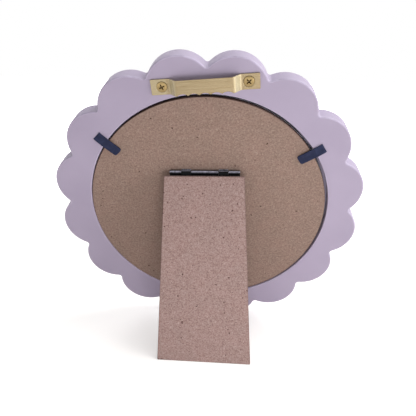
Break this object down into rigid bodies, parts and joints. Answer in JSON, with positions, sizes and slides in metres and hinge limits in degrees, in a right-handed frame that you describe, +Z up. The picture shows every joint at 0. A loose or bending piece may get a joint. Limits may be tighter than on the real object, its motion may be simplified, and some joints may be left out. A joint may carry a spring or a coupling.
{
  "type": "picture frame",
  "caption": "Round picture frame with a scalloped painted edge, a hinged easel leg, bend-up tabs that hold the backboard, and a sawtooth wall hanger.",
  "frame": {"origin": "middle of the footprint, on the surface that the frame and its open leg stand on", "axes": "+X to the right seen from the front, -Y the way the picture faces, +Z up"},
  "size_m": [0.197, 0.0758, 0.1918],
  "materials": {
    "lilac_paint": "satin lilac paint on MDF",
    "clear_glass": "polished clear glass",
    "white_card": "matt white card",
    "bare_board": "bare MDF",
    "bare_leg": "bare MDF",
    "satin_brass": "satin brass plating",
    "navy_lacquer": "dark blue lacquer on soft steel",
    "black_paint": "semi-gloss black paint on steel",
    "plain_steel": "plain steel"
  },
  "bodies": {
    "frame": {"frame_moulding": "lilac_paint", "glazing": "clear_glass", "photo_insert": "white_card", "backboard": "bare_board", "tab_stake_left": "navy_lacquer", "tab_stake_right": "navy_lacquer", "sawtooth_hanger": "satin_brass", "hanger_screw_left": "satin_brass", "hanger_screw_right": "satin_brass", "hinge_leaf_board": "black_paint", "hinge_pin": "plain_steel", "hinge_screw_board_left": "plain_steel", "hinge_screw_board_right": "plain_steel"},
    "leg": {"easel_leg": "bare_leg", "hinge_leaf_leg": "black_paint", "hinge_screw_leg_left": "plain_steel", "hinge_screw_leg_right": "plain_steel"},
    "tab_left": {"retaining_tab_left": "navy_lacquer"},
    "tab_right": {"retaining_tab_right": "navy_lacquer"}
  },
  "joints": [
    {"name": "leg_swing", "type": "hinge", "parent": "frame", "child": "leg", "pos_m": [0.00127, 0.00956, 0.11851], "axis": [0.9998, -0.0062, -0.0209], "range_deg": [-26.5, 0]},
    {"name": "tab_left_bend", "type": "hinge", "parent": "frame", "child": "tab_left", "pos_m": [0.06721, 0.0159, 0.14135], "axis": [0.6858, -0.2065, -0.6979], "range_deg": [0, 90]},
    {"name": "tab_right_bend", "type": "hinge", "parent": "frame", "child": "tab_right", "pos_m": [-0.07034, 0.0146, 0.13698], "axis": [0.5592, 0.2353, 0.795], "range_deg": [0, 90]}
  ]
}
